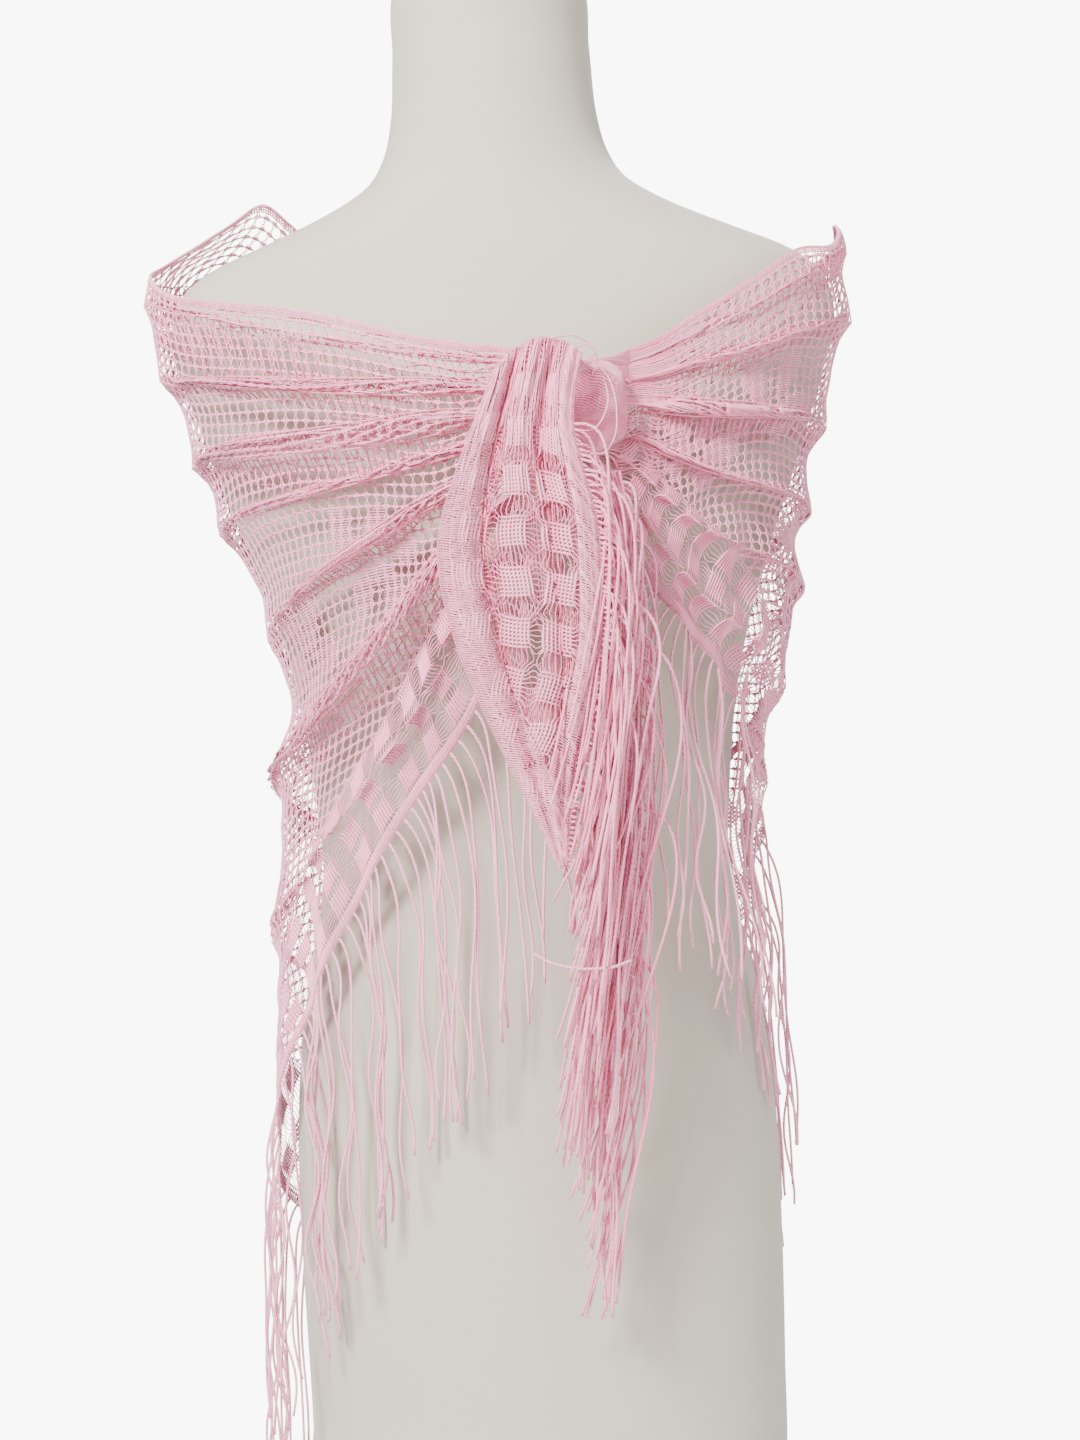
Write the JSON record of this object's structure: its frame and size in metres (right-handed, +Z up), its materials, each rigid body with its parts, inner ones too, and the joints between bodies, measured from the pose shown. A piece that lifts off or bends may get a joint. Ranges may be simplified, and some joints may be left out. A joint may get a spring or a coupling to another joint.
{
  "type": "mesh triangle scarf on a dress form",
  "caption": "Openwork lace triangle scarf with long corded fringe, knotted at the front round the shoulders of a limbless dress form on a round-based stand.",
  "frame": {"origin": "centre of the round base's underside, on the floor", "axes": "+Z up, -Y towards the front where the knot is, +X to the viewer's right"},
  "size_m": [0.4071, 0.3406, 1.485],
  "materials": {
    "lace": "pale pink knitted lace net of soft satin yarn",
    "cord": "pale pink two-ply twisted fringe cord",
    "jersey": "cream jersey cover, smooth and matt",
    "stand_metal": "black satin powder coat"
  },
  "bodies": {
    "root": {"wrap_left": "lace", "wrap_back": "lace", "wrap_right": "lace", "knot": "lace", "tail_front": "lace", "tail_back": "lace", "fringe_left": "cord", "fringe_back": "cord", "fringe_right": "cord", "fringe_tail_front": "cord", "fringe_tail_back": "cord", "form": "jersey", "pole": "stand_metal", "hub": "stand_metal", "base": "stand_metal"}
  },
  "joints": []
}
